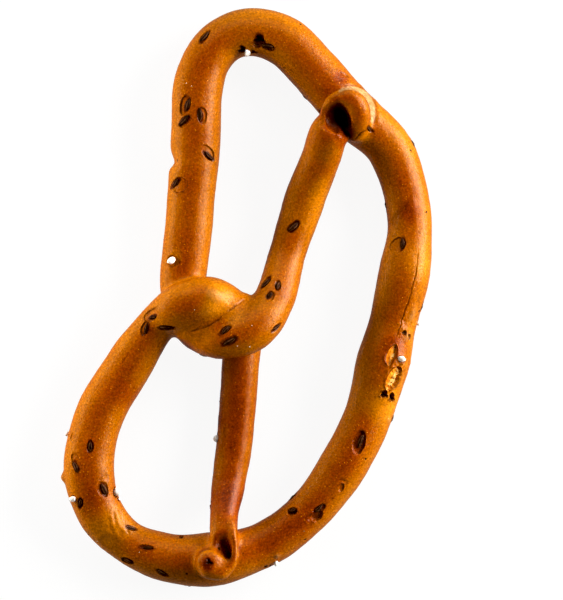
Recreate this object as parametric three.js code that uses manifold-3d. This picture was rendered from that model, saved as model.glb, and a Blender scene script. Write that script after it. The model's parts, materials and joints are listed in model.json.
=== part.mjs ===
// A baked pretzel: one dough strand, laid as an upright loop, twisted over itself twice
// and closed with both curled ends pressed onto the loop. Millimetres, +Z up. The pretzel
// lies flat on its underside. The origin is on the tray plane, under the middle of its box.
import * as THREE from 'three';
import * as BufferGeometryUtils from 'three/addons/utils/BufferGeometryUtils.js';
import Module from 'manifold-3d';

const wasm = await Module();
wasm.setup();

// Driving dimensions, mm
const CRUST_COLOUR = 0xb4691c;
const FLATNESS = 0.92;        // strand height over strand width
const TRAY_FLAT = 0.35;       // how deep the tray flattens the underside
const STRAND_SIDES = 16;      // facets round the strand
const STRAND_STEP = 2.2;      // length of strand between two sections
const CURL_SIDES = 12;
const CURL_STEP = 1.1;
const DOME_RINGS = 4;         // sections in a rounded end
const TRAY_MARGIN = 20;       // how far the cutting slab runs past the pretzel
const PIT_SEGMENTS = 14;

// The strand's middle line, from one end to the other. Each row is
// [x, y, lift off the tray, half of the strand's width] at one point of the line.
const FIRST_ARM = [
  [16.1, 31.5, 5.7, 2.8],
  [13.9, 28.1, 5.0, 3.4],
  [12.7, 24.2, 2.7, 3.4],
  [10.1, 17.7, 0.2, 3.5],
  [6.9, 7.7, 0.4, 3.2],
];
const LOWER_CROSSING = [
  [4.4, -0.8, 3.5, 3.5],
  [0.6, -5.6, 5.2, 3.8],
  [-4.3, -6.8, 4.6, 3.8],
  [-8.2, -5.9, 2.4, 3.5],
  [-10.7, -2.9, 0.3, 3.5],
];
const LEFT_SIDE = [
  [-11.2, 2.3, 0, 4.0],
  [-10.1, 12.9, 0, 4.1],
  [-9.0, 27.5, 0, 4.3],
  [-8.5, 36.6, 0, 4.3],
];
const TOP_BEND = [
  [-6.9, 41.3, 0, 4.1],
  [-3.7, 44.6, 0, 4.0],
  [0.9, 45.8, 0, 4.2],
  [6.4, 44.1, 0, 4.4],
  [11.1, 39.6, 0, 4.3],
];
const RIGHT_SIDE = [
  [18.0, 31.9, 0, 4.4],
  [24.3, 26.0, 0, 4.0],
  [27.2, 18.5, 0, 3.8],
  [28.0, 12.0, 0, 3.8],
  [27.0, 3.9, 0, 4.5],
  [25.2, -4.0, 0, 4.1],
  [23.3, -11.3, 0, 4.6],
  [20.8, -20.3, 0, 4.1],
  [16.8, -28.5, 0, 4.2],
];
const BOTTOM_BEND = [
  [10.5, -37.0, 0, 3.8],
  [2.8, -42.7, 0, 3.9],
  [-6.0, -45.1, 0, 4.7],
  [-14.3, -44.8, 0, 4.2],
  [-20.9, -42.1, 0, 3.6],
];
const LOWER_LEFT = [
  [-25.4, -37.2, 0, 4.0],
  [-27.4, -29.8, 0, 4.4],
  [-25.8, -20.8, 0, 4.2],
  [-21.1, -12.6, 0, 4.1],
];
const UPPER_CROSSING = [
  [-15.3, -4.3, 1.9, 3.4],
  [-11.2, -1.4, 4.6, 3.9],
  [-6.8, -0.5, 4.6, 4.1],
  [-2.9, -2.3, 2.4, 3.7],
  [-1.0, -6.1, 0.2, 3.3],
];
const SECOND_ARM = [
  [-1.3, -12.5, 0, 3.2],
  [-2.4, -26.3, 0, 3.1],
  [-3.3, -32.5, 1.2, 2.9],
  [-4.0, -37.6, 4.4, 2.4],
  [-4.0, -41.6, 5.6, 2.9],
];

// The strand's tips curl round a deep pit. Each row is [x, y, height, half width].
const FIRST_CURL = [
  [12.3, 28.9, 9.6, 1.1],
  [13.0, 31.7, 10.0, 1.3],
  [15.0, 33.8, 10.0, 1.5],
  [17.6, 34.1, 9.9, 1.8],
  [18.9, 32.5, 9.8, 2.1],
  [18.9, 30.2, 9.6, 2.2],
  [18.2, 28.3, 9.0, 1.8],
];
const SECOND_CURL = [
  [-2.6, -38.9, 9.2, 0.8],
  [-2.4, -42.2, 9.4, 0.9],
  [-3.1, -45.2, 9.4, 1.3],
  [-4.8, -46.8, 9.2, 1.7],
  [-6.6, -45.9, 9.2, 2.2],
];
const BUTTON = { at: [-6.5, -45.4, 8.6], half: [2.5, 2.5, 2.4] };

// Pits: middle, half sizes and turn about +Z in degrees
const FIRST_PIT = { at: [15.5, 31.0, 11.6], half: [1.45, 2.3, 3.2], turn: 15 };
const SECOND_PIT = { at: [-3.6, -42.6, 11.0], half: [1.0, 2.0, 2.6], turn: 12 };

/** A smooth line through the rows, with the rows' last columns carried along it. */
function strandLine(rows, heightOf) {
  const points = rows.map((row) => new THREE.Vector3(row[0], row[1], heightOf(row)));
  const curve = new THREE.CatmullRomCurve3(points, false, 'centripetal');
  const halfAt = (t) => {
    const place = t * (rows.length - 1);
    const index = Math.min(Math.floor(place), rows.length - 2);
    const blend = THREE.MathUtils.smoothstep(place - index, 0, 1);
    return THREE.MathUtils.lerp(rows[index][3], rows[index + 1][3], blend);
  };
  return { curve, halfAt };
}

/** Sections at an even step: middle, side and up directions, and half width. */
function sectionsAlong(line, step) {
  const count = Math.round(line.curve.getLength() / step);
  const sections = [];
  for (let i = 0; i <= count; i += 1) {
    const t = line.curve.getUtoTmapping(i / count);
    const along = line.curve.getTangent(t);
    const side = along.clone().cross(new THREE.Vector3(0, 0, 1)).normalize();
    sections.push({
      middle: line.curve.getPoint(t),
      along,
      side,
      up: side.clone().cross(along).normalize(),
      half: line.halfAt(t),
    });
  }
  return sections;
}

/** The rings of a rounded end beyond a section, from wide to narrow. */
function domeSections(section, direction) {
  const rings = [];
  for (let i = 1; i <= DOME_RINGS; i += 1) {
    const angle = (i / (DOME_RINGS + 0.5)) * (Math.PI / 2);
    const reach = section.half * FLATNESS * Math.sin(angle) * direction;
    rings.push({
      ...section,
      middle: section.middle.clone().addScaledVector(section.along, reach),
      half: section.half * Math.cos(angle),
    });
  }
  return rings;
}

/** A closed solid skinned over sections, with an elliptical ring at each of them. */
function skinSections(sections, sides) {
  const positions = [];
  const indices = [];
  for (const section of sections) {
    for (let k = 0; k < sides; k += 1) {
      const angle = (k / sides) * 2 * Math.PI;
      const point = section.middle.clone();
      point.addScaledVector(section.side, section.half * Math.cos(angle));
      point.addScaledVector(section.up, section.half * FLATNESS * Math.sin(angle));
      positions.push(point.x, point.y, point.z);
    }
  }
  for (let i = 0; i < sections.length - 1; i += 1) {
    for (let k = 0; k < sides; k += 1) {
      const a = i * sides + k;
      const b = i * sides + ((k + 1) % sides);
      indices.push(a, a + sides, b, b, a + sides, b + sides);
    }
  }
  const last = sections.length - 1;
  const firstMiddle = sections.length * sides;
  positions.push(...sections[0].middle.toArray(), ...sections[last].middle.toArray());
  for (let k = 0; k < sides; k += 1) {
    const next = (k + 1) % sides;
    indices.push(firstMiddle, k, next);
    indices.push(firstMiddle + 1, last * sides + next, last * sides + k);
  }
  const geometry = new THREE.BufferGeometry();
  geometry.setAttribute('position', new THREE.Float32BufferAttribute(positions, 3));
  geometry.setIndex(indices);
  return geometry;
}

/** A closed three.js geometry as a solid that can be joined and cut. */
function solidOf(geometry) {
  const bare = geometry.index && !geometry.attributes.normal ? geometry : geometry.clone();
  bare.deleteAttribute('normal');
  bare.deleteAttribute('uv');
  const merged = BufferGeometryUtils.mergeVertices(bare);
  return new wasm.Manifold(new wasm.Mesh({
    numProp: 3,
    vertProperties: merged.attributes.position.array,
    triVerts: Uint32Array.from(merged.index.array),
  }));
}

/** A solid back as a three.js geometry, with flat facets. */
function geometryOf(solid) {
  const mesh = solid.getMesh();
  const geometry = new THREE.BufferGeometry();
  geometry.setAttribute('position', new THREE.BufferAttribute(mesh.vertProperties, 3));
  geometry.setIndex(new THREE.BufferAttribute(mesh.triVerts, 1));
  return geometry;
}

/** An ellipsoid for a rounded knob or for cutting a pit. */
function ellipsoid({ at, half, turn = 0 }) {
  const geometry = new THREE.SphereGeometry(1, PIT_SEGMENTS, PIT_SEGMENTS - 4);
  geometry.scale(...half);
  geometry.rotateZ(THREE.MathUtils.degToRad(turn));
  geometry.translate(...at);
  return solidOf(geometry);
}

/** The whole strand: three stretches that never cross themselves, joined into one. */
function strandSolid() {
  const rows = [
    ...FIRST_ARM, ...LOWER_CROSSING, ...LEFT_SIDE, ...TOP_BEND, ...RIGHT_SIDE,
    ...BOTTOM_BEND, ...LOWER_LEFT, ...UPPER_CROSSING, ...SECOND_ARM,
  ];
  const restHeight = (row) => row[3] * FLATNESS - TRAY_FLAT + row[2];
  const sections = sectionsAlong(strandLine(rows, restHeight), STRAND_STEP);
  const nearest = ([x, y]) => sections.reduce((best, section, index) => {
    const gap = Math.hypot(section.middle.x - x, section.middle.y - y);
    return gap < best.gap ? { gap, index } : best;
  }, { gap: Infinity, index: 0 }).index;
  const ringStart = nearest(LEFT_SIDE[1]);
  const ringEnd = nearest(LOWER_LEFT[3]);
  const stretches = [
    [...domeSections(sections[0], -1).reverse(), ...sections.slice(0, ringStart + 1)],
    sections.slice(ringStart, ringEnd + 1),
    [...sections.slice(ringEnd), ...domeSections(sections[sections.length - 1], 1)],
  ];
  return stretches
    .map((stretch) => solidOf(skinSections(stretch, STRAND_SIDES)))
    .reduce((whole, stretch) => whole.add(stretch));
}

/** One curled tip: a short tube with rounded ends. */
function curlSolid(rows) {
  const sections = sectionsAlong(strandLine(rows, (row) => row[2]), CURL_STEP);
  const whole = [
    ...domeSections(sections[0], -1).reverse(),
    ...sections,
    ...domeSections(sections[sections.length - 1], 1),
  ];
  return solidOf(skinSections(whole, CURL_SIDES));
}

/** The tray as a slab below z = 0, which flattens the underside. */
function traySlab(solid) {
  const { min, max } = solid.boundingBox();
  const geometry = new THREE.BoxGeometry(
    max[0] - min[0] + TRAY_MARGIN,
    max[1] - min[1] + TRAY_MARGIN,
    TRAY_MARGIN,
  );
  geometry.translate((min[0] + max[0]) / 2, (min[1] + max[1]) / 2, -TRAY_MARGIN / 2);
  return solidOf(geometry);
}

function pretzelGeometry() {
  const joined = strandSolid()
    .add(curlSolid(FIRST_CURL))
    .add(curlSolid(SECOND_CURL))
    .add(ellipsoid(BUTTON));
  const pitted = joined.subtract(ellipsoid(FIRST_PIT)).subtract(ellipsoid(SECOND_PIT));
  return geometryOf(pitted.subtract(traySlab(pitted)));
}

const crust = new THREE.MeshStandardMaterial({
  color: CRUST_COLOUR,
  roughness: 0.45,
  metalness: 0,
  flatShading: true,
});
const pretzel = new THREE.Mesh(pretzelGeometry(), crust);
pretzel.name = 'pretzel';

const model = new THREE.Group();
model.add(pretzel);

export default model;
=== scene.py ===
"""A crisp baked pretzel: one dough strand, twisted over itself, both ends curled and pressed
onto the loop, the crust glazed brown and dotted with caraway seeds and coarse salt.

Sizes and places are in millimetres until the end, when each piece is turned into metres.
X, Y and Z are those of the frame: the pretzel lies on z = 0 and is looked at from above.
"""
import json
import math

import bmesh
import bpy
import numpy as np
from mathutils import Matrix, Vector
from mathutils.bvhtree import BVHTree

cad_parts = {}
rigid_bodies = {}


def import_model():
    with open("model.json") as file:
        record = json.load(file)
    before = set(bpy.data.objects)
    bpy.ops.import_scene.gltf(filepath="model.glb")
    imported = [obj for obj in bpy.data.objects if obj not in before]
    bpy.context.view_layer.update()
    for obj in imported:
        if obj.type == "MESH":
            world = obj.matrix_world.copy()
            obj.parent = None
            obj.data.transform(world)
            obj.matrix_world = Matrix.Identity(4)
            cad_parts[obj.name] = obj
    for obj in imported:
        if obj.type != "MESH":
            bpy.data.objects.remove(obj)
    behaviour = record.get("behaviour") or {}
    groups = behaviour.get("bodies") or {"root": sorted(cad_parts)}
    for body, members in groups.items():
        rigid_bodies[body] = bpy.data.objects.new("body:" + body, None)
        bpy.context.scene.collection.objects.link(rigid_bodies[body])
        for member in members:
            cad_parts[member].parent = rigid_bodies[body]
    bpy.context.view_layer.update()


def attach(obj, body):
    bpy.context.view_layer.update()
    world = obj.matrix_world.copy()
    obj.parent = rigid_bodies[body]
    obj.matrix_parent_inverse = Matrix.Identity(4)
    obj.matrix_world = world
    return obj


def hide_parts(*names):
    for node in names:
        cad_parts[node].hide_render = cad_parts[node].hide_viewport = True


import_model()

MM = 0.001
CAD_NODE = "pretzel"
BODY = "root"

# ---- the strand, in mm
FLATNESS = 0.92          # strand height over strand width
TRAY_FLAT = 0.35         # how deep the tray flattens the underside
TRAY_ROUND = 0.16        # how gently the flat underside turns into the side
STRAND_STEP = 0.6
STRAND_SIDES = 40
DOME_RINGS = 6
ROUGH_VOXEL = 0.26       # first fusing of the overlapping stretches
PIT_VOXEL = 0.15         # fusing of the overlapping pits, before they are cut
CRUST_VOXEL = 0.50       # the crust's final mesh, before it is refined round its details
FAIRING_ROUNDS = 8
ABOVE = 40.0             # a height from which the crust is looked at
FAR = 99.0               # stands for a point that a detail doesn't reach
SIDE_HEIGHT = 3.4        # where the strand's side stands out furthest
SPOT_REACH = 0.9         # how far round a spot its outward way is averaged
SPOT_DEPTH = 2.2         # how far over or under a spot the crust still belongs to it
LINE_STEP = 0.15         # step between the points of a line drawn on the crust
LINE_REACH = 2.5         # how far from a drawn line its distance is measured
SMOOTH_ROUNDS = 2        # evening out after the mesh is refined
CREASE_REACH = 3.0       # how far from the crease the valley is filled
CREASE_ROUNDS = 90       # how often that is repeated
# Margins round the details at the three levels of mesh refinement
ALL_MARGIN, SMALL_MARGIN, TEAR_MARGIN = 0.9, 0.35, 0.1
# Unevenness of the whole skin: height, size, seed, octaves
UNEVEN = [(0.1, 6, 3, 1), (0.05, 2.4, 4, 1), (0.018, 0.9, 6, 2)]

# [x, y, lift off the tray, half width] along the strand's middle, end to end
STRAND = [
    # first arm, from its pressed end
    (16.1, 31.5, 5.7, 2.8), (13.9, 28.1, 5, 3.4), (12.7, 24.2, 2.7, 3.4),
    (10.1, 17.7, 0.2, 3.5), (6.9, 7.7, 0.4, 3.2),
    # lower crossing, over the second arm
    (4.4, -0.8, 3.5, 3.5), (0.6, -5.6, 5.2, 3.8), (-4.3, -6.8, 4.6, 3.8),
    (-8.2, -5.9, 2.4, 3.5), (-10.7, -2.9, 0.3, 3.5),
    # left side, going up
    (-11.2, 2.3, 0, 4), (-10.1, 12.9, 0, 4.1), (-9, 27.5, 0, 4.3), (-8.5, 36.6, 0, 4.3),
    # top bend
    (-6.9, 41.3, 0, 4.1), (-3.7, 44.6, 0, 4), (0.9, 45.8, 0, 4.2), (6.4, 44.1, 0, 4.4),
    (11.1, 39.6, 0, 4.3),
    # right side, going down
    (18, 31.9, 0, 4.4), (24.3, 26, 0, 4), (27.2, 18.5, 0, 3.8), (28, 12, 0, 3.8),
    (27, 3.9, 0, 4.5), (25.2, -4, 0, 4.1), (23.3, -11.3, 0, 4.6), (20.8, -20.3, 0, 4.1),
    (16.8, -28.5, 0, 4.2),
    # bottom bend
    (10.5, -37, 0, 3.8), (2.8, -42.7, 0, 3.9), (-6, -45.1, 0, 4.7), (-14.3, -44.8, 0, 4.2),
    (-20.9, -42.1, 0, 3.6),
    # lower left
    (-25.4, -37.2, 0, 4), (-27.4, -29.8, 0, 4.4), (-25.8, -20.8, 0, 4.2),
    (-21.1, -12.6, 0, 4.1),
    # upper crossing, over the left side
    (-15.3, -4.3, 1.9, 3.4), (-11.2, -1.4, 4.6, 3.9), (-6.8, -0.5, 4.6, 4.1),
    (-2.9, -2.3, 2.4, 3.7), (-1, -6.1, 0.2, 3.3),
    # second arm, to its pressed end
    (-1.3, -12.5, 0, 3.2), (-2.4, -26.3, 0, 3.1), (-3.3, -32.5, 1.2, 2.9),
    (-4, -37.6, 4.4, 2.4), (-4.1, -41.6, 5.6, 2.5),
]
# The tips curl round a deep pit: [x, y, height, half width]
FIRST_CURL = [
    (13, 30.6, 8.7, 0.8), (13.5, 32.3, 9.6, 1), (14.9, 33.7, 10.1, 1.4), (17.5, 34, 9.9, 1.9),
    (18.9, 32.3, 9.5, 2.1), (18.8, 30.3, 8.3, 2.3), (18.7, 28.6, 6.6, 2.2),
]
SECOND_CURL = [
    (-2.8, -38.4, 8.5, 0.7), (-2.45, -40.6, 9.3, 0.8), (-2.4, -42.6, 9.5, 0.85),
    (-2.45, -44.4, 9.5, 0.95), (-3.2, -46, 9.4, 1.2), (-4.7, -46.8, 9.3, 1.7),
    (-6.3, -46.2, 9.2, 2.1),
]
# Dough that fills the valley between the two crossings
CREASE_FILL = [
    (-0.4, -0.4, 6.9, 1.3), (-1.4, -1, 7.9, 1.6), (-3, -2.2, 8.9, 1.8), (-4.6, -3.5, 9.2, 1.8),
    (-6.2, -4.6, 9.1, 1.8), (-8.1, -5.4, 8.35, 1.8), (-10, -6, 7.2, 1.7), (-11, -6.3, 6.2, 1.4),
]
# The button and the pits, all ellipsoids: middle, half sizes, turn in degrees
BUTTON = (-6.3, -45.3, 8.6, 2.7, 2.7, 2.4, 0)
PITS = [
    (16.3, 30.7, 11, 1.3, 2.6, 4.6, 22), (15.3, 30.1, 11.2, 1.5, 2.2, 2.6, 22),
    (17.1, 28.3, 10, 0.85, 1.9, 2.5, 38), (-4.5, -40.9, 10.5, 1.9, 2.4, 1.2, 8),
    (-4.2, -42.2, 10.3, 1.7, 2, 1.7, 12), (-3.6, -43.2, 10.1, 1, 1.4, 2.3, 20),
    (-3.3, -44, 10, 0.65, 1, 2.9, 20),
]

# Painted shade in the pits, partly burnt crust: x, y, turn, length, reach to the right and to the
# left
PIT_SHADES = [
    (16.3, 30.7, 22, 5.4, 1, 1.8), (17.1, 28.3, 38, 2.8, 0.4, 0.8),
    (-3.2, -44.1, 20, 1.7, 0.5, 0.6),
]

# ---- what lies on the crust, in mm
# Seeds seen from above: x, y, turn in degrees, length, width
SEEDS = [
    (-7.4, 44.8, 54, 2.3, 0.95), (-10.4, 33, 68, 2.4, 0.95), (-8.1, 31.3, 94, 2.6, 0.9),
    (-11, 30.4, 44, 2.6, 0.95), (-6.5, 24.2, -43, 2.4, 0.9), (-12.5, 19.6, 51, 2.2, 0.9),
    (3.4, 43.1, -15, 2.2, 0.8), (20.9, 28.9, -41, 1.9, 0.65), (26.6, 9.2, 82, 2.1, 0.85),
    (19.4, -24.7, 80, 2.6, 0.85), (12.3, -36.3, 36, 2, 0.8), (-14.6, -47.4, -30, 2.1, 0.8),
    (-20.1, -39.7, -17, 1.9, 0.75), (-17.4, -43, -6, 2.4, 0.6), (-16.3, -3.4, 20, 1.9, 0.8),
    (-17.4, -5.3, 75, 2.1, 0.8), (-13.8, -5.2, 2, 2.6, 1), (-27, -25.6, 86, 1.9, 0.8),
    (-29.6, -29.1, -70, 2.2, 0.85), (-24.6, -33, -73, 2.3, 1.15), (-28.8, -35.4, 86, 1.8, 0.7),
    (-3.8, -5.6, 37, 2.1, 0.85), (-3, -7.5, 29, 2.6, 0.85), (4.9, -5.2, 44, 2.2, 0.7),
    (3.2, 2.6, 54, 2.2, 0.85), (5.2, 2.1, 85, 1.7, 0.8), (3.8, 0.4, 62, 1.5, 0.8),
    (7.9, 12.2, 48, 2.3, 1), (7.7, -36.6, 10, 1.3, 0.8), (-20.7, -45.4, -20, 2, 0.75),
]
# Seeds on the steep sides: x, y, z, turn about the strand's side in degrees, length, width
SIDE_SEEDS = [
    (9.6, 34.6, 3, 130, 1.8, 0.8), (28.7, 26.6, 3.6, -60, 1.7, 0.8),
    (23.6, 15.8, 3.2, 95, 1.7, 0.8), (7.6, -34.2, 3.6, 35, 1.7, 0.8), (25.6, -21, 3.4, 80, 2, 0.85),
    (-7.8, -10.2, 6, -10, 1.7, 0.8), (-10.5, -48.8, 3.2, 0, 1.9, 0.8),
    (29.8, -1.4, 4.2, 80, 1.3, 0.6),
]
# Hollows that the seeds lie in: x, y, turn, length, width, depth
SOCKETS = [
    (-10.7, 33, 80, 3.5, 1.9, 0.25), (-7.8, 31.2, 92, 2.9, 1.7, 0.2),
    (-10.8, 30.2, 44, 2.9, 1.5, 0.22), (-6.7, 24.8, -58, 3.2, 1.9, 0.25),
    (-11.7, 19.4, 20, 3, 2.7, 0.16), (-7.4, 44.8, 54, 2.7, 1.3, 0.18),
    (1.9, 43.9, 70, 2.6, 1.9, 0.75), (3.5, 43, -20, 2.5, 1.3, 0.5), (25.8, 9, 20, 2.9, 2.7, 0.2),
    (19.2, -24.9, 75, 4.3, 2.1, 0.5), (12.3, -36.4, 36, 2.4, 1.2, 0.24),
    (11.9, -37.6, 50, 2.2, 1.7, 0.55), (-16.5, -3, 30, 3.6, 1.9, 0.2),
    (-17.7, -5.3, 75, 2.6, 1.4, 0.19), (-13.8, -5.2, 2, 3.1, 1.3, 0.22),
    (-27, -25.6, 86, 2.3, 1.2, 0.2), (-29.4, -28.4, -70, 3.4, 1.7, 0.17),
    (-24.8, -33, -73, 2.7, 1.9, 0.24), (-28.7, -35.5, 80, 2.3, 1.2, 0.27),
    (-3.8, -5.6, 37, 2.5, 1.2, 0.16), (-3.1, -7.5, 29, 3.2, 1.4, 0.18),
    (4.9, -5.2, 44, 2.7, 1, 0.13), (3.2, 2.6, 54, 2.7, 1.3, 0.22), (5.2, 2, 85, 2.1, 1.2, 0.19),
    (3.9, 0.2, 62, 2.1, 1.4, 0.19), (7.9, 12.2, 48, 2.8, 1.5, 0.24),
    (23.4, -16.6, 60, 1.5, 1, 0.55), (24.8, -17.1, 95, 1.7, 1, 0.55),
    (7.7, -36.8, 10, 1.9, 1.4, 0.5), (16.1, -32.7, 80, 1.5, 1, 0.24),
    (-14.6, -47.4, -30, 2.5, 1.1, 0.18), (-20.1, -39.7, -17, 2.2, 1, 0.14),
    (-20.7, -45.4, -20, 2.5, 1.3, 0.2), (-17.4, -42.9, -6, 2.7, 0.8, 0.14),
    (26.9, -6.1, 0, 0.9, 0.8, 0.24), (27.8, -6.8, 90, 1, 0.7, 0.21),
    (20.9, 28.9, -41, 2.2, 0.9, 0.14), (-30.2, -24, 80, 1.5, 0.8, 0.12),
    (-22.6, -32.2, -60, 1.6, 0.9, 0.18), (-11.4, -41.2, 90, 1, 0.7, 0.21),
    (-5.6, -24.1, 90, 1.6, 0.8, 0.12), (-12.9, 6.3, 0, 1.9, 1.9, 0.15),
    (26.4, -10.6, -35, 1.5, 1.2, 0.18), (-29.8, -34.6, 0, 1.5, 1.3, 0.18),
]
# Salt grains: x, y, turn in degrees, size, lift out of the crust
SALT = [
    (-13, 6.3, 20, 1.5, 0.25), (-0.1, 42.3, 75, 1.5, 0.1), (26.3, -10.5, -35, 1.45, 0.3),
    (-29.8, -34.5, 10, 1.35, 0.3), (4.8, -45.6, 60, 1.2, 0.1),
]
# Salt grains on the steep sides: x, y, z, turn, size
SIDE_SALT = [
    (-21.3, -33.3, 5.2, 40, 1.6), (-21.8, -34.6, 4.6, 10, 0.7), (-5.7, -24.3, 3, 85, 1.2),
    (-31.5, -23.4, 3, 15, 1.1), (30, -4.6, 3, 0, 0.9),
]
# Salt dust: x, y
SALT_DUST = [
    (-9, -2.1), (0.8, -4.8), (-1.7, -8.3), (0.4, -8.4), (-9.6, 36.3), (-10.5, 36.8), (-18.6, -43.8),
    (9.7, -40.2), (-25.9, -42),
]


# ---- small helpers
def smoothstep(low, high, value):
    t = np.clip((value - low) / (high - low), 0.0, 1.0)
    return t * t * (3 - 2 * t)


def fall(low, high, value):
    """1 up to the low value, 0 from the high one on."""
    return 1 - smoothstep(low, high, value)


def bell(value, middle, width):
    """1 at the middle, fading to nothing on both sides."""
    return np.exp(-((value - middle) / width) ** 2)


def values_of(items, key, width, kind=float):
    """One field of every item, a row for each."""
    flat = np.empty(len(items) * width, dtype=kind)
    items.foreach_get(key, flat)
    return flat.reshape(-1, width)


def lattice_value(ix, iy, iz, seed):
    """A fixed random value between -1 and 1 for each corner of a cubic lattice."""
    h = ((ix * 73856093) ^ (iy * 19349663) ^ (iz * 83492791) ^ (seed * 2654435)) & 0x7FFFFFFF
    h = ((h ^ (h >> 13)) * 1274126177) & 0x7FFFFFFF
    h = ((h ^ (h >> 16)) * 1103515245) & 0x7FFFFFFF
    return ((h ^ (h >> 15)) & 0xFFFF) / 32767.5 - 1.0


def noise(points, size, seed, octaves=1):
    """Smooth noise between about -1 and 1, with features of the given size."""
    total = np.zeros(len(points))
    weight = 1.0
    for octave in range(octaves):
        p = points * (2.0 ** octave / size) + 37.0 * octave
        base = np.floor(p).astype(np.int64)
        f = p - base
        f = f * f * (3 - 2 * f)
        for corner in range(8):
            dx, dy, dz = corner & 1, (corner >> 1) & 1, corner >> 2
            share = (np.where(dx, f[:, 0], 1 - f[:, 0]) * np.where(dy, f[:, 1], 1 - f[:, 1])
                     * np.where(dz, f[:, 2], 1 - f[:, 2]))
            total += weight * share * lattice_value(
                base[:, 0] + dx, base[:, 1] + dy, base[:, 2] + dz, seed + octave)
        weight *= 0.5
    return total


def smooth_line(rows, step):
    """A centripetal spline through the rows at an even step, with every column carried along."""
    rows = np.asarray(rows, float)
    padded = np.vstack([2 * rows[0] - rows[1], rows, 2 * rows[-1] - rows[-2]])
    samples = []
    for i in range(len(rows) - 1):
        p = padded[i:i + 4]
        knots = np.concatenate([[0], np.cumsum(np.maximum(
            np.linalg.norm(np.diff(p[:, :3], axis=0), axis=1) ** 0.5, 1e-4))])
        count = max(int(np.linalg.norm(p[2, :3] - p[1, :3]) / (step * 0.25)), 2)
        for t in knots[1] + (knots[2] - knots[1]) * np.arange(count) / count:
            points = p
            for spans in (((0, 1), (1, 2), (2, 3)), ((0, 2), (1, 3)), ((1, 2),)):
                points = [((knots[n] - t) * a + (t - knots[m]) * b) / (knots[n] - knots[m])
                          for (m, n), a, b in zip(spans, points, points[1:])]
            point = points[0]
            share = smoothstep(0, 1, (t - knots[1]) / (knots[2] - knots[1]))
            point[3] = p[1, 3] * (1 - share) + p[2, 3] * share
            samples.append(point)
    samples.append(rows[-1])
    samples = np.array(samples)
    along = np.concatenate([[0], np.cumsum(np.linalg.norm(
        np.diff(samples[:, :3], axis=0), axis=1))])
    even = np.linspace(0, along[-1], int(along[-1] / step) + 1)
    return np.column_stack([np.interp(even, along, samples[:, k]) for k in range(4)])


def with_domes(line):
    """The line with extra points whose widths shrink to a rounded tip at both ends."""
    ends = []
    for tip, inner in ((line[0], line[1]), (line[-1], line[-2])):
        out = (tip[:3] - inner[:3]) / np.linalg.norm(tip[:3] - inner[:3])
        ring = []
        for i in range(1, DOME_RINGS + 1):
            angle = i / (DOME_RINGS + 0.4) * math.pi / 2
            middle = tip[:3] + out * tip[3] * FLATNESS * math.sin(angle)
            ring.append([*middle, tip[3] * math.cos(angle)])
        ends.append(ring)
    return np.vstack([ends[0][::-1], line, ends[1]])


# ---- node trees
def new_tree(name, inputs):
    """An empty Geometry Nodes tree with named inputs and one geometry output."""
    tree = bpy.data.node_groups.new(name, "GeometryNodeTree")
    tree.interface.new_socket("Geometry", in_out="INPUT", socket_type="NodeSocketGeometry")
    for label, kind in inputs:
        tree.interface.new_socket(label, in_out="INPUT", socket_type="NodeSocket" + kind)
    tree.interface.new_socket("Geometry", in_out="OUTPUT", socket_type="NodeSocketGeometry")
    return tree, tree.nodes.new("NodeGroupInput"), tree.nodes.new("NodeGroupOutput")


def add(tree, kind, links=None, **settings):
    """A node with its properties and its inputs: a value, an output, or a node's first output."""
    node = tree.nodes.new(kind)
    for key, value in settings.items():
        setattr(node, key, value)
    for key, value in (links or {}).items():
        if isinstance(value, bpy.types.Node):
            value = value.outputs[0]
        if isinstance(value, bpy.types.NodeSocket):
            tree.links.new(value, node.inputs[key])
        else:
            node.inputs[key].default_value = value
    return node


def named(tree, name, kind):
    return add(tree, "GeometryNodeInputNamedAttribute", {"Name": name}, data_type=kind)


def finish_tree(tree, geometry, material, out):
    real = add(tree, "GeometryNodeRealizeInstances", {"Geometry": geometry})
    painted = add(tree, "GeometryNodeSetMaterial", {"Geometry": real, "Material": material})
    tree.links.new(painted.outputs["Geometry"], out.inputs["Geometry"])


def run_tree(obj, tree, values):
    """Runs a tree on an object and gives back the plain mesh that comes out."""
    modifier = obj.modifiers.new(tree.name, "NODES")
    modifier.node_group = tree
    for item in tree.interface.items_tree:
        if item.in_out == "INPUT" and item.name in values:
            modifier[item.identifier] = values[item.name]
    return plain_mesh(obj)


def plain_mesh(obj):
    """The object's mesh with its modifiers worked in, and the modifiers removed."""
    graph = bpy.context.evaluated_depsgraph_get()
    graph.update()
    mesh = bpy.data.meshes.new_from_object(obj.evaluated_get(graph), depsgraph=graph)
    obj.modifiers.clear()
    return mesh


def new_object(name, mesh):
    obj = bpy.data.objects.new(name, mesh)
    bpy.context.scene.collection.objects.link(obj)
    return obj


def drop(obj):
    mesh = obj.data
    bpy.data.objects.remove(obj)
    if mesh.users == 0:
        bpy.data.meshes.remove(mesh)


def sweep_tree():
    """Sweeps a flattened round section along a line of points with their own half widths."""
    tree, given, out = new_tree("strand_sweep", [
        ("Section sides", "Int"), ("Flatness", "Float"), ("Material", "Material")])
    section = add(tree, "GeometryNodeCurvePrimitiveCircle",
                  {"Resolution": given.outputs["Section sides"], "Radius": 1.0})
    shape = add(tree, "ShaderNodeCombineXYZ", {"X": 1.0, "Y": given.outputs["Flatness"], "Z": 1.0})
    flat = add(tree, "GeometryNodeTransform", {"Geometry": section, "Scale": shape})
    line = add(tree, "GeometryNodeMeshToCurve", {"Mesh": given})
    level = add(tree, "GeometryNodeSetCurveNormal", {"Curve": line}, mode="Z_UP")
    skin = add(tree, "GeometryNodeCurveToMesh", {
        "Curve": level, "Profile Curve": flat, "Fill Caps": True,
        "Scale": named(tree, "half_width", "FLOAT")})
    finish_tree(tree, skin, given.outputs["Material"], out)
    return tree


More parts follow.
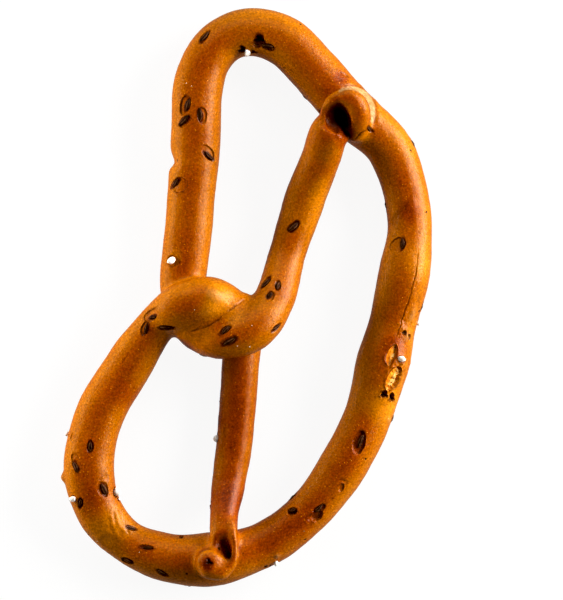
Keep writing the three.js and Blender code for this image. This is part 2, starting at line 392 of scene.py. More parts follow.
# ---- the dough, fused into one body
def strand_line():
    """The strand's middle line and half widths, with each row's lift turned into a height."""
    rows = np.array(STRAND)
    rows[:, 2] += rows[:, 3] * FLATNESS - TRAY_FLAT
    return smooth_line(rows, STRAND_STEP)


def lines_object(lines):
    """Several lines as one object of points and edges, each point with its half width."""
    places, edges, widths = [], [], []
    for line in lines:
        first = len(places)
        places.extend(line[:, :3].tolist())
        widths.extend(line[:, 3].tolist())
        edges.extend((first + i, first + i + 1) for i in range(len(line) - 1))
    mesh = bpy.data.meshes.new("strand_lines")
    mesh.from_pydata(places, edges, [])
    mesh.attributes.new("half_width", "FLOAT", "POINT").data.foreach_set("value", widths)
    return new_object("strand_lines", mesh)


def ellipsoids(knobs, name):
    """Closed ellipsoids as one object: middle, half sizes and turn about Z of each."""
    bm = bmesh.new()
    for *numbers, turn in knobs:
        place = (Matrix.Translation(numbers[:3])
                 @ Matrix.Rotation(math.radians(turn), 4, "Z")
                 @ Matrix.Diagonal((*numbers[3:], 1)))
        bmesh.ops.create_icosphere(bm, subdivisions=4, radius=1, matrix=place)
    return new_object(name, finished_mesh(bm, name))


def voxels(obj, size):
    """Fuses the object's overlapping parts into one even skin."""
    modifier = obj.modifiers.new("voxels", "REMESH")
    modifier.mode = "VOXEL"
    modifier.voxel_size = size


def dough_mesh():
    """Strand, curled tips and button fused, pitted and remeshed as one closed skin."""
    lines = [strand_line()]
    lines += [smooth_line(rows, STRAND_STEP / 2) for rows in (FIRST_CURL, SECOND_CURL, CREASE_FILL)]
    source = lines_object([with_domes(line) for line in lines])
    swept = new_object("dough", run_tree(source, sweep_tree(), {
        "Section sides": STRAND_SIDES, "Flatness": FLATNESS}))
    button = ellipsoids([BUTTON], "button")
    pits = ellipsoids(PITS, "pits")
    voxels(pits, PIT_VOXEL)
    bm = bmesh.new()
    bm.from_mesh(swept.data)
    bm.from_mesh(button.data)
    bmesh.ops.recalc_face_normals(bm, faces=bm.faces)
    bm.to_mesh(swept.data)
    bm.free()
    voxels(swept, ROUGH_VOXEL)
    cut = swept.modifiers.new("pits", "BOOLEAN")
    cut.operation = "DIFFERENCE"
    cut.solver = "MANIFOLD"
    cut.object = pits
    voxels(swept, CRUST_VOXEL)
    mesh = plain_mesh(swept)
    for helper in (source, swept, button, pits):
        drop(helper)
    return mesh


class Crust:
    """The crust while details are worked into it: its points, normals, height and tints."""

    MASKS = ("toast_and_shade", "rim_and_shade", "floor", "burnt_and_shade", "pale", "crumb", "fibre")

    def __init__(self, mesh):
        self.mesh = mesh
        self.read()

    def read(self):
        """Takes the points from the mesh, with no detail on them yet."""
        self.at = values_of(self.mesh.vertices, "co", 3)
        count = len(self.at)
        self.lift = np.zeros(count)
        self.hollow = np.zeros(count)
        self.mask = {name: np.zeros(count) for name in self.MASKS}
        self.update()

    def update(self):
        """Puts the points into the mesh and takes the new normals and search tree."""
        self.mesh.vertices.foreach_set("co", self.at.ravel())
        self.mesh.update()
        self.normal = values_of(self.mesh.vertex_normals, "vector", 3)
        self.tree = BVHTree.FromPolygons(
            self.at.tolist(), [tuple(p.vertices) for p in self.mesh.polygons])
        self.grain = noise(self.at, 0.8, 5)

    def neighbours(self):
        """A function that gives the middle of every point's neighbours."""
        a, b = values_of(self.mesh.edges, "vertices", 2, np.int64).T
        count = len(self.at)
        share = np.bincount(a, minlength=count) + np.bincount(b, minlength=count)

        def middle():
            total = [np.bincount(a, self.at[b, k], count) + np.bincount(b, self.at[a, k], count)
                     for k in range(3)]
            return np.column_stack(total) / share[:, None]
        return middle

    def fair(self, rounds):
        """Evens out the remesher's steps without shrinking the strand."""
        middle = self.neighbours()
        for pull in [0.5, -0.52] * rounds:
            self.at += pull * (middle() - self.at)
        self.update()

    def soften(self, line, reach, rounds):
        """Fills the valley along a line by evening the crust out near it."""
        middle = self.neighbours()
        distance = np.abs(line_field(self, line, 2 * reach)[0])
        give = fall(0.3 * reach, reach, distance)
        for _ in range(rounds):
            rise = ((middle() - self.at) * self.normal).sum(axis=1)
            self.at += self.normal * (give * np.maximum(rise, 0))[:, None]
        self.update()

    def bake_flat(self):
        """Lets the dough down on the tray, its underside flat with a soft edge."""
        z = self.at[:, 2]
        z = 0.5 * (z + np.sqrt(z * z + TRAY_ROUND ** 2))
        self.at[:, 2] = z - z.min()
        self.update()

    def refine(self, places, margin):
        """Splits in four the faces within each place's radius and a margin round it."""
        wanted = np.zeros(len(self.at), dtype=bool)
        for place, radius in places:
            wanted |= ((self.at - place) ** 2).sum(axis=1) < (radius + margin) ** 2
        bm = bmesh.new()
        bm.from_mesh(self.mesh)
        edges = {edge for face in bm.faces if all(wanted[v.index] for v in face.verts)
                 for edge in face.edges}
        bmesh.ops.subdivide_edges(bm, edges=list(edges), cuts=1, use_grid_fill=True, smooth=0.6)
        bm.to_mesh(self.mesh)
        bm.free()
        self.read()

    def spot(self, x, y, turn=0.0, z=None):
        """A detail's own axes: its point on the crust, its length, width and outward way."""
        hit = self.tree.ray_cast(Vector((x, y, ABOVE)), Vector((0, 0, -1)))
        if z is not None or hit[0] is None:
            hit = self.tree.find_nearest(Vector((x, y, z or SIDE_HEIGHT)))
        point = np.array(hit[0])
        near = np.linalg.norm(self.at - point, axis=1) < SPOT_REACH
        out = self.normal[near & (self.normal @ np.array(hit[1]) > 0.2)].mean(axis=0)
        out /= np.linalg.norm(out)
        way = np.array([math.cos(math.radians(turn)), math.sin(math.radians(turn)), 0.0])
        if z is None and out[2] > 0.3:
            way[2] = -(out[0] * way[0] + out[1] * way[1]) / out[2]
        else:
            way -= out * (way @ out)
        way /= np.linalg.norm(way)
        return point, way, np.cross(out, way), out

    def local(self, spot):
        """Every point's place along a spot's length and width, and who is near."""
        point, way, across, out = spot
        offset = self.at - point
        near = (self.normal @ out > 0.05) & (np.abs(offset @ out) < SPOT_DEPTH)
        return offset @ way, offset @ across, near

    def sink(self, depth):
        self.hollow = np.maximum(self.hollow, depth)

    def tint(self, name, amount):
        self.mask[name] = np.maximum(self.mask[name], amount)

    def shape(self):
        """Moves every point out or in by the detail gathered so far."""
        self.at += self.normal * (self.lift - self.hollow)[:, None]
        self.at[:, 2] = np.maximum(self.at[:, 2], 0.0)
        self.update()

    def store(self):
        """Leaves the masks on the mesh, for the crust's finish to read."""
        for name, values in self.mask.items():
            layer = self.mesh.attributes.new(name, "FLOAT", "POINT")
            layer.data.foreach_set("value", np.clip(values, 0, 1))


# ---- what the crust carries
CREASE = [(0.3, 0.1), (-2.1, -1.5), (-4.6, -3.5), (-7, -5), (-9.1, -5.7), (-10.5, -6.1)]
PALE_CRESCENT = [
    (15.6, 35.1), (16.8, 35.7), (18, 35.9), (19.4, 35.5), (20.6, 34.5), (21.4, 32.9), (21.6, 31.3),
    (21.3, 29.9),
]
PALE_WIDTH = 1.08
# Cracks, folds, creases and grooves: the line, width, depth, how much higher its left side stands,
# tint (darkening along the line, partly painted shade in the split, the fold and the crease between
# the lobes)
CRACKS = [
    ([(29.5, 9), (28.9, 4.2), (28.4, 2.1), (27.7, -0.4), (26.8, -3), (25.9, -5.8), (25.2, -7.5)],
     0.08, 0.08, 0.1, 0.65),
    ([(28.4, 17.6), (26.3, 14.7), (24.7, 12)], 0.5, 0.14, 0.12, 0.35),
    (CREASE, 0.16, 0.22, 0, 0.6),
    ([(-17.6, -3.4), (-16.7, -2.2), (-15, -1.5)], 0.14, 0.16, 0.08, 0.6),
    ([(-5.5, -43), (-6.7, -42.9), (-7.9, -43.4), (-8.8, -44.6), (-8.9, -46), (-8.4, -47.5),
      (-7.4, -48.6)], 0.16, 0.2, 0.06, 0.7),
    ([(18.2, 27), (19.3, 27.9), (20.4, 28.7), (21.2, 29.5)], 0.12, 0.18, 0, 0.9),
]
CRACKS += [(scratch, 0.1, 0.1, 0, 0.5) for scratch in (
    [(-3.9, -38.9), (-3.5, -39.4), (-3.3, -40)], [(-21.6, -11.4), (-20.9, -10.4), (-20.4, -9.3)],
    [(-4, -22.2), (-3.9, -24.6)], [(-15.6, -8.9), (-15, -7.6)])]
CRACKS += [(wrinkle, 0.22, 0.1, 0.06, 0.25) for wrinkle in (
    [(-23.1, -36.5), (-22.6, -38.6), (-21.2, -41)], [(-22, -36.3), (-21.3, -38.8), (-20.2, -40.9)],
    [(-24, -37.2), (-23.4, -39.6), (-21.9, -42.7)], [(14.4, 28.2), (15.6, 27.2)],
    [(15, 28.9), (16.8, 27.5)])]
FINE_CRACK = 0.2         # cracks narrower than this get the finest mesh
# Tears with crumb showing: the line, full width, depth
TEARS = [([(25.5, -8.0), (24.9, -9.4), (24.4, -10.9), (24.3, -11.8)], 1.5, 0.40),
         ([(26.1, -11.8), (25.3, -13.4), (24.4, -15.1), (24.0, -16.0)], 2.1, 0.50)]
# Raised rings: x, y, turn, radius, height
RINGS = [(-12.9, 6.3, 0, 1.35, 0.13)]
# Rough flaky skin: x, y, radius, height
ROUGH = [
    (27.6, -5, 3, 0.16), (27, -12, 3.4, 0.14), (24, -13.5, 2.4, 0.1), (28.6, 1, 3, 0.08),
    (11, -38, 1.8, 0.14), (-22, -39.5, 2.2, 0.07), (-24.6, -31.8, 1.4, 0.08),
    (-7, -45.5, 1.3, 0.16), (15.6, 28, 1.6, 0.1),
]
# Bubbles: x, y, turn, length, width, height
BLISTERS = [
    (24.2, -21.1, 0, 1.55, 1.5, 0.22), (19.9, -9.3, 80, 2.1, 1, 0.16),
    (9.7, -40.2, 60, 0.7, 0.4, 0.12), (5.1, -44.4, 0, 1.6, 1.5, 0.2),
    (-5.4, 0.3, -25, 5.2, 3.4, 0.28), (28.3, -3, 70, 4.2, 1.6, 0.22),
    (27.3, -6.9, 75, 2.6, 1.6, 0.24),
]
SIDE_BLISTERS = [(-31.4, -31.0, 3.9, 80, 2.4, 2.2, 0.55)]
# Soft dents: x, y, turn, length, width, depth, tint of the edge
DENTS = [
    (16.8, 38.3, -30, 1.9, 0.9, 0.2, 0.5), (-24, -42.1, 0, 3.4, 3.2, 0.12, 0.25),
    (16.4, -31.6, -20, 2.4, 0.8, 0.16, 0.35), (-24.6, -31.4, 60, 2.6, 1.8, 0.12, 0.3),
    (11.2, -37.9, 20, 2.3, 1.6, 0.2, 0.5), (14, 30.2, 100, 5.8, 4, 0.95, 0),
    (-12.4, 6.4, 0, 4.6, 4.4, 0.1, 0),
]
# Burnt pores: x, y, size
DOTS = [
    (9.1, 47, 0.5), (28.1, 25.3, 0.5), (30.8, 14.7, 0.5), (-27.4, -40.9, 0.5), (20.3, -27.8, 0.45),
    (9.9, -41.7, 0.45), (-10.4, -47.4, 0.5), (26.9, -6, 0.8), (27.7, -6.6, 0.7),
    (-11.4, -41.2, 0.7), (-20.9, -45.4, 0.8), (-21.5, -45.3, 0.7), (-4.8, -43, 0.55),
    (-12.6, 23.6, 0.7), (3.1, -46.4, 0.9), (3.9, -46.2, 0.6), (29.6, -2.4, 0.6),
]
# Burst holes: x, y, size, depth
BURSTS = [
    (2, 44.2, 1.5, 0.6), (-0.9, 42.6, 1.2, 0.35), (1, 42.3, 0.8, 0.4), (-6.6, -45.2, 1, 0.3),
    (23.4, -16.7, 1, 0.5), (24.8, -17.3, 1.1, 0.5),
]
# Patches that baked darker or stayed paler, with painted shade round the pits, on the lower second
# arm and on the right strand's inner flank, and painted highlight on the twist's upper lobe and on
# the strand under the crease: x, y, z, radius, change of toast and shade
TOAST_AND_SHADE_PATCHES = [
    (-4.3, -41.8, 10, 2.6, 0.14), (-9.6, -2.3, 10, 2.8, 0.22), (-2.4, -3.4, 10, 2.4, -0.2),
    (-6.6, -6, 10, 2.6, -0.1), (25.4, -14, 6, 12, -0.08), (25.6, 8, 6, 10, -0.06),
    (6, -40, 6, 9, 0.14), (-12, -43, 6, 9, 0.05), (-2, -20, 5, 12, 0.16), (14, 24, 8, 7, 0.06),
    (-4.4, -0.2, 11, 3.4, -0.3), (-24, -30, 6, 9, 0.06), (2, 46, 6, 8, -0.12), (24, 27, 6, 8, -0.1),
    (-6, -9, 8, 3.6, 0.1), (15, 31, 8, 2.6, 0.35), (-3.6, -42.6, 8, 2.6, 0.35),
    (28, 14.8, 8, 2.8, 0.25), (-7, -45.5, 11, 1.5, 0.38), (17.8, 33.9, 11, 0.5, 0.4),
    (-3, -35.5, 5, 6, 0.38), (-23.5, -39.5, 7, 4.5, -0.32), (23.3, -18.5, 7, 4, -0.32),
    (-6, -1.8, 11, 2.8, -0.28), (3.9, -1.5, 9, 2.8, -0.15), (10.8, 14.5, 5, 5, -0.16),
    (29.2, 6, 6, 3.6, -0.18), (25.8, -9, 7, 3.4, 0.28), (-10.6, -8.4, 6, 2.6, 0.35),
    (-6, -21, 4, 3, 0.2), (16.3, 37.9, 7, 1.8, 0.3), (19, 30.4, 10, 2.4, 0.14),
    (23.2, 13, 3, 3.6, 0.2), (22.4, 5, 3, 3.6, 0.2), (20.6, -3, 3, 3.6, 0.2),
    (16.4, 27.4, 9, 2.4, 0.3), (12.9, 31.6, 9, 1.8, 0.28), (14, 29.6, 9, 2.2, 0.15),
    (-12.7, 7, 8, 2, -0.35), (12.1, 18.6, 6, 3, -0.16), (-20, -17, 6, 3.6, 0.2),
    (-12.9, -1.5, 8, 2.2, -0.2), (-14.4, -44.6, 6, 2.8, -0.2),
]
NOTCH = dict(at=(-13.4, 23.3, 4.2), high=1.6, low=0.9, depth=0.9)
HIDDEN_SEEDS = 16        # seeds on the lower flanks, where they aren't seen from above
HIDDEN_SIZE = (2.3, 0.9, 0.7)
HIDDEN_SOCKET = (2.8, 1.4, 0.34)
HIDDEN_GAP = 9.0         # least distance between two of them
SIDE_DEPTH = 0.3         # depth of the hollows on the steep sides
SIDE_LIFT = 0.1          # how far the salt on the steep sides stands out
DUST_SIZE = 0.2
SEED_HEIGHT = 0.85       # a seed's height over its width
SEED_SINK = 0.16         # how deep a seed's middle lies under the crust


def ellipse(crust, spot, length, width, wobble=0.0):
    """Every point's distance from a spot's middle, 1 at the edge of its oval."""
    u, v, near = crust.local(spot)
    distance = np.hypot(2 * u / length, 2 * v / width) * (1 + wobble * crust.grain)
    return np.where(near, distance, FAR)


def drawn_line(crust, rows):
    """A line drawn on the crust from above: its points in space."""
    flat = smooth_line([(x, y, 0, 0) for x, y in rows], LINE_STEP)[:, :2]
    hits = [crust.tree.ray_cast(Vector((x, y, ABOVE)), Vector((0, 0, -1)))[0] for x, y in flat]
    return np.array([hit for hit in hits if hit is not None])


def line_field(crust, line, reach=LINE_REACH):
    """Every point's distance from a drawn line, positive on its left, and the share along it."""
    low, high = line.min(axis=0) - reach, line.max(axis=0) + reach
    near = np.flatnonzero(((crust.at > low) & (crust.at < high)).all(axis=1)
                          & (crust.normal[:, 2] > 0.05))
    offset = crust.at[near, None, :2] - line[None, :, :2]
    closest = (offset ** 2).sum(axis=2).argmin(axis=1)
    way = np.gradient(line[:, :2], axis=0)[closest]
    nearest = offset[np.arange(len(near)), closest]
    side = np.sign(way[:, 0] * nearest[:, 1] - way[:, 1] * nearest[:, 0])
    distance = np.full(len(crust.at), FAR)
    distance[near] = side * np.linalg.norm(nearest, axis=1)
    share = np.zeros(len(crust.at))
    share[near] = closest / (len(line) - 1)
    return distance, share


def ends_fade(share):
    """1 along a line, falling to 0 at both its ends."""
    return smoothstep(0, 0.15, share) * fall(0.85, 1, share)


def press_socket(crust, spot, length, width, depth):
    """A shallow hollow with a steep, uneven wall, a slight lip and a broken reddish outline,
    painted shade of the undercut wall.
    """
    q = ellipse(crust, spot, length, width) * (1 + 0.13 * noise(crust.at, 1.1, 91, 2))
    edge = (q - 1) * 0.25 * (length + width)
    crust.sink(depth * fall(-0.18, 0.02, edge))
    crust.lift += 0.035 * bell(edge, 0.12, 0.12)
    broken = 0.35 + 0.65 * smoothstep(-0.5, 0.2, noise(crust.at, 1.0, 93))
    crust.tint("rim_and_shade", broken * bell(edge, -0.05, 0.085))
    crust.tint("floor", fall(-0.4, -0.1, edge))


def paint_seed_shadow(crust, spot, size):
    """A dark ring painted close round a seed: painted shadow where the seed lies in the crust."""
    edge = (ellipse(crust, spot, size[0], size[1], 0.12) - 1) * 0.25 * (size[0] + size[1])
    ragged = edge + 0.16 * noise(crust.at, 0.7, 97)
    crust.tint("rim_and_shade", 0.95 * fall(0.02, 0.34, ragged))


def raise_blister(crust, spot, length, width, height):
    """A smooth round bubble, paler on its top: painted highlight on its crest."""
    q = ellipse(crust, spot, length, width, 0.05)
    crust.lift += height * fall(0.0, 1.1, q)
    crust.tint("pale", 0.3 * fall(0.2, 0.9, q))


def sink_dent(crust, spot, length, width, depth, rim_and_shade):
    """A soft dent, its edge tinted if it has one."""
    q = ellipse(crust, spot, length, width, 0.12)
    crust.sink(depth * fall(0.1, 1.1, q))
    crust.tint("rim_and_shade", rim_and_shade * bell(q, 0.8, 0.25))


def tear_open(crust, line, width, depth):
    """A tear in the crust: flaky raised lips, and a spongy crumb, paler on its right half; its
    holes and a line round its edge are darkened, painted shade in the crumb and under the lips.
    """
    d, share = line_field(crust, line)
    inner = (share > 0.001) & (share < 0.999)
    half = 0.5 * width * np.sin(math.pi * np.clip(share, 0.04, 0.96)) ** 0.6
    q = np.where(inner, np.abs(d), FAR) / (half * (1 + 0.22 * noise(crust.at, 0.9, 73, 2)))
    crumb = fall(0.72, 0.98, q)
    holes = smoothstep(-0.1, 0.35, noise(crust.at, 0.36, 75, 2))
    paler = smoothstep(-0.25, 0.25, d + 0.2 * crust.grain)
    crust.sink(crumb * (depth + 0.10 * noise(crust.at, 0.8, 71, 2) + 0.16 * holes * paler))
    crust.lift += (0.13 + 0.10 * crust.grain) * bell(q, 1.35, 0.28)
    crust.tint("crumb", crumb)
    crust.tint("fibre", crumb * paler * (1 - holes) * smoothstep(1.0, 0.6, q))
    crust.tint("rim_and_shade", 0.9 * crumb * holes * paler)
    crust.tint("rim_and_shade", 0.7 * bell(q, 1.06, 0.12))


def raise_ring(crust, spot, radius, height):
    """A raised ring, where a grain sank in and the crust puffed up round it."""
    q = ellipse(crust, spot, 2 * radius, 2 * radius, 0.05)
    crust.lift += height * bell(q, 1, 0.32 / radius)


def roughen(crust):
    """Works the named areas into a rough, flaky skin, darkening the low flakes: painted shade in
    the hollows between them.
    """
    flakes = noise(crust.at, 0.9, 81, 3)
    for x, y, radius, height in ROUGH:
        away = np.hypot(crust.at[:, 0] - x, crust.at[:, 1] - y) / radius
        area = fall(0.4, 1.0, away) * (crust.normal[:, 2] > 0)
        crust.lift += height * area * flakes
        crust.tint("rim_and_shade", 0.45 * area * smoothstep(0.25, 0.9, -flakes))


def draw_crack(crust, line, width, depth, step, tint):
    """A broken dark split along a line, the crust on its left standing a step higher; the dark tint
    is partly painted shade in the split.
    """
    d, share = line_field(crust, line)
    fade = ends_fade(share)
    ragged = d + 0.12 * crust.grain
    broken = 0.4 + 0.6 * smoothstep(-0.5, 0.3, noise(crust.at, 1.3, 95))
    crust.sink(fade * broken * depth * bell(ragged, 0, width))
    crust.lift += fade * step * smoothstep(-width, width, ragged) * fall(0.4, 2.2, d)
    crust.tint("rim_and_shade", fade * broken * tint * bell(ragged, 0, 1.3 * width))


def leave_pale(crust, line, width):
    """A crisp pale unbrowned band along a line, with a thin dark edge and a ridge outside it."""
    d, share = line_field(crust, line)
    half = 0.5 * width * (0.45 + 0.55 * np.sin(math.pi * np.clip(share, 0.0, 1.0)))
    edge = np.abs(d + 0.08 * crust.grain) - half
    inner = (share > 0.001) & (share < 0.999)
    crust.tint("pale", inner * fall(-0.12, 0.12, edge))
    crust.tint("rim_and_shade", 0.5 * inner * bell(edge, 0.14, 0.10))
    crust.lift += inner * 0.12 * bell(d, 0.9 * width, 0.3)


def dark_dot(crust, spot, size):
    """A tiny burnt pore."""
    q = ellipse(crust, spot, size, size)
    crust.sink(0.14 * fall(0.3, 1.1, q))
    crust.tint("burnt_and_shade", 0.9 * fall(0.5, 1.15, q))


def burst_hole(crust, spot, size, depth):
    """A star-shaped hole where the crust burst, black inside and torn round its edge; the black is
    painted shade in the hole, partly burnt crust.
    """
    u, v, near = crust.local(spot)
    angle = np.arctan2(v, u)
    reach = 0.5 * size * (1 + 0.30 * np.cos(3 * angle + 1.2) + 0.22 * np.cos(5 * angle + 2.0))
    q = np.where(near, np.hypot(u, v), FAR) / reach * (1 + 0.35 * noise(crust.at, 0.5, 99, 2))
    crust.sink(depth * fall(0.45, 1.05, q))
    crust.lift += 0.12 * bell(q, 1.2, 0.2)
    crust.tint("burnt_and_shade", fall(0.6, 1.1, q))
    crust.tint("rim_and_shade", 0.8 * fall(1.0, 1.6, q))


def cut_notch(crust):
    """A nick in the side, sharp below and gentle above."""
    offset = crust.at - np.array(NOTCH["at"])
    along = offset[:, 1] / np.where(offset[:, 1] > 0, NOTCH["high"], NOTCH["low"])
    aside = np.hypot(offset[:, 0] / 2.6, offset[:, 2] / 4.5)
    crust.sink(NOTCH["depth"] * np.exp(-along ** 2) * fall(0.3, 1.0, aside))


def toast_and_shade_crust(crust):
    """How far each place has browned, with painted shade in it, and uneven all over."""
    lean = np.degrees(np.arccos(np.clip(crust.normal[:, 2], -1, 1)))
    # Crowns darker and flanks lighter, partly browning and partly painted shade from the low side
    # lights; the steepest sides darker again, painted shade where little light comes up from below.
    toast_and_shade = 0.30 + 0.30 * fall(0, 50, lean) + 0.13 * smoothstep(50, 85, lean)
    toast_and_shade += 0.05 * noise(crust.at, 7.0, 11, 2) + 0.03 * noise(crust.at, 1.8, 13, 2)
    # Patches of uneven baking, of painted shade and of painted highlight.
    for x, y, z, radius, change in TOAST_AND_SHADE_PATCHES:
        away = np.linalg.norm(crust.at - np.array((x, y, z)), axis=1) / radius
        toast_and_shade += change * fall(0.2, 1.2, away)
    crust.mask["toast_and_shade"] = toast_and_shade


def burn_and_shade_pits(crust):
    """Paints shade into the deep pits, black below their right bank, fading to brown up their left;
    partly burnt crust.
    """
    for x, y, turn, length, right, left in PIT_SHADES:
        c, n = math.cos(math.radians(turn)), math.sin(math.radians(turn))
        across = (crust.at[:, 0] - x) * c + (crust.at[:, 1] - y) * n
        along = (crust.at[:, 1] - y) * c - (crust.at[:, 0] - x) * n
        wide = np.where(across > 0, right, left)
        q = np.hypot(across / wide, 2 * along / length) * (1 + 0.12 * crust.grain)
        facing = (crust.normal[:, 2] > -0.4) & (crust.at[:, 2] > 5)
        crust.tint("burnt_and_shade", facing * fall(0.55, 1.05, q))
        crust.tint("rim_and_shade", 0.8 * facing * fall(0.8, 1.6, q))


def hidden_spots(crust):
    """Places on the lower flanks, well apart, for the seeds that aren't seen from above."""
    order = np.random.default_rng(17).permutation(len(crust.at))
    places = []
    for i in order:
        at, out = crust.at[i], crust.normal[i]
        if -0.85 < out[2] < -0.35 and at[2] > 1.0:
            if all(np.linalg.norm(at - other) > HIDDEN_GAP for other in places):
                places.append(at)
        if len(places) == HIDDEN_SEEDS:
            break
    return [crust.spot(*at[:2], 35 * n, at[2]) for n, at in enumerate(places)]


def on_crust(crust, rows):
    """Each row's spot, found on the crust from above, then the rest of the row."""
    return [(crust.spot(x, y, turn), *size) for x, y, turn, *size in rows]


def on_side(crust, rows):
    """The same for rows that give a height too."""
    return [(crust.spot(x, y, turn, z), *size) for x, y, z, turn, *size in rows]


def seed_and_salt_places(crust):
    """The seeds, the salt and the hollows they sit in: each one's spot, then its size."""
    side_seeds, side_salt = on_side(crust, SIDE_SEEDS), on_side(crust, SIDE_SALT)
    hidden = hidden_spots(crust)
    seeds = [(spot, (length, width, SEED_HEIGHT * width))
             for spot, length, width in on_crust(crust, SEEDS) + side_seeds]
    seeds += [(spot, HIDDEN_SIZE) for spot in hidden]
    salt = on_crust(crust, SALT) + [(*grain, SIDE_LIFT) for grain in side_salt]
    salt += [(crust.spot(x, y, 40 * n), DUST_SIZE, 0.0) for n, (x, y) in enumerate(SALT_DUST)]
    sockets = on_crust(crust, SOCKETS) + [(spot, *HIDDEN_SOCKET) for spot in hidden]
    sockets += [(spot, 1.2 * length, 1.4 * width, SIDE_DEPTH) for spot, length, width in side_seeds]
    sockets += [(spot, 1.15 * size, 1.1 * size, SIDE_DEPTH) for spot, size in side_salt]
    return seeds, salt, sockets


def refine_round(crust, sockets, pores, bulges, cracks, tears, pale):
    """Refines the mesh round every detail, twice round small ones and three times in tears."""
    small = [(spot[0], 0.25 * (length + width)) for spot, length, width, _ in sockets]
    small += [(spot[0], size / 2) for spot, size, *_ in pores]
    small += [(at, 0.2) for line, width, *_ in cracks if width < FINE_CRACK for at in line[::4]]
    small += [(at, 1.2) for line, _, _ in tears for at in line[::4]]
    large = [(spot[0], min(length, 3.0) / 2) for spot, length, *_ in bulges]
    large += [(at, 0.5) for line, width, *_ in cracks if width > FINE_CRACK for at in line[::4]]
    large += [(at, 0.5) for at in pale[::4]]
    large += [((x, y, z - 1.5), 1.5) for x, y, z, *_ in PITS]
    crust.refine(small + large, ALL_MARGIN)
    crust.refine(small, SMALL_MARGIN)
    crust.refine([(at, 0.9) for line, _, _ in tears for at in line[::4]], TEAR_MARGIN)
    crust.fair(SMOOTH_ROUNDS)


def crust_and_seed_places():
    """The finished crust mesh, and each seed's and each salt grain's axes and size."""
    crust = Crust(dough_mesh())
    crust.fair(FAIRING_ROUNDS)
    crust.bake_flat()

    seeds, salt, sockets = seed_and_salt_places(crust)
    blisters = on_crust(crust, BLISTERS) + on_side(crust, SIDE_BLISTERS)
    dents, rings = on_crust(crust, DENTS), on_crust(crust, RINGS)
    dots, bursts = [[(crust.spot(x, y), *size) for x, y, *size in rows] for rows in (DOTS, BURSTS)]
    cracks, tears = [[(drawn_line(crust, line), *size) for line, *size in rows]
                     for rows in (CRACKS, TEARS)]
    crease, pale = drawn_line(crust, CREASE), drawn_line(crust, PALE_CRESCENT)
    refine_round(crust, sockets, dots + bursts, blisters + dents, cracks, tears, pale)

    crust.soften(crease, CREASE_REACH, CREASE_ROUNDS)
    for height, size, seed, octaves in UNEVEN:
        crust.lift += height * noise(crust.at, size, seed, octaves)
    for work in (roughen, toast_and_shade_crust, burn_and_shade_pits, cut_notch):
        work(crust)
    for work, details in ((raise_blister, blisters), (sink_dent, dents), (press_socket, sockets),
                          (paint_seed_shadow, seeds), (raise_ring, rings), (dark_dot, dots),
                          (burst_hole, bursts), (draw_crack, cracks), (tear_open, tears)):
        for detail in details:
            work(crust, *detail)
    leave_pale(crust, pale, PALE_WIDTH)
    crust.shape()
    crust.store()
    return crust.mesh, seeds, salt


# ---- seeds and salt
SEED_RINGS = 16
SEED_SIDES = 30
SEED_RIBS = 5


def seed_mesh(name, bend, blunt, roll):
    """A caraway seed one unit long, wide and high: a bent spindle with narrow raised ribs."""
    lump = np.random.default_rng(int(10 * roll)).uniform(-0.17, 0.17, (5, 6))
    bm = bmesh.new()
    ribs = bm.verts.layers.float.new("rib")
    rings = []
    for i in range(1, SEED_RINGS):
        t = i / SEED_RINGS
        body = math.sin(math.pi * t ** blunt) ** 0.62
        ring = []
        for k in range(SEED_SIDES):
            angle = 2 * math.pi * k / SEED_SIDES
            rib = (0.5 + 0.5 * math.cos(SEED_RIBS * angle + roll)) ** 2.5
            radius = 0.5 * body * (0.84 + 0.16 * rib) * (1 + lump[i % 5, k % 6])
            vert = bm.verts.new((t - 0.5, radius * math.cos(angle) + bend * (t - 0.5) ** 2 * 4,
                                 radius * math.sin(angle)))
            vert[ribs] = rib * smoothstep(0.0, 0.35, body)
            ring.append(vert)
        rings.append(ring)
    for lower, upper in zip(rings, rings[1:]):
        for k in range(SEED_SIDES):
            n = (k + 1) % SEED_SIDES
            bm.faces.new((lower[k], upper[k], upper[n], lower[n]))
    for ring, end in ((rings[0], -0.5), (rings[-1], 0.5)):
        tip = bm.verts.new((end, bend, 0))
        for k in range(SEED_SIDES):
            n = (k + 1) % SEED_SIDES
            corners = (ring[k], ring[n], tip)
            bm.faces.new(corners if end < 0 else corners[::-1])
    bmesh.ops.recalc_face_normals(bm, faces=bm.faces)
    return finished_mesh(bm, name)


def salt_mesh(name, seed, chips):
    """A salt grain of unit size: a ball worn down to soft flats, its edges rounded."""
    rng = np.random.default_rng(seed)
    bm = bmesh.new()
    bmesh.ops.create_icosphere(bm, subdivisions=3, radius=0.66)
    stretch = Vector(rng.uniform(0.76, 1.0, 3))
    for vert in bm.verts:
        vert.co *= stretch
    for _ in range(chips):
        out = Vector(rng.normal(size=3)).normalized()
        reach = rng.uniform(0.32, 0.48)
        for vert in bm.verts:
            over = vert.co.dot(out) - reach
            if over > 0:
                vert.co -= out * over * 0.97
    bmesh.ops.smooth_vert(bm, verts=bm.verts, factor=0.5, use_axis_x=True, use_axis_y=True,
                          use_axis_z=True)
    bmesh.ops.recalc_face_normals(bm, faces=bm.faces)
    return finished_mesh(bm, name)


def finished_mesh(bm, name):
    mesh = bpy.data.meshes.new(name)
    bm.to_mesh(mesh)
    bm.free()
    return mesh


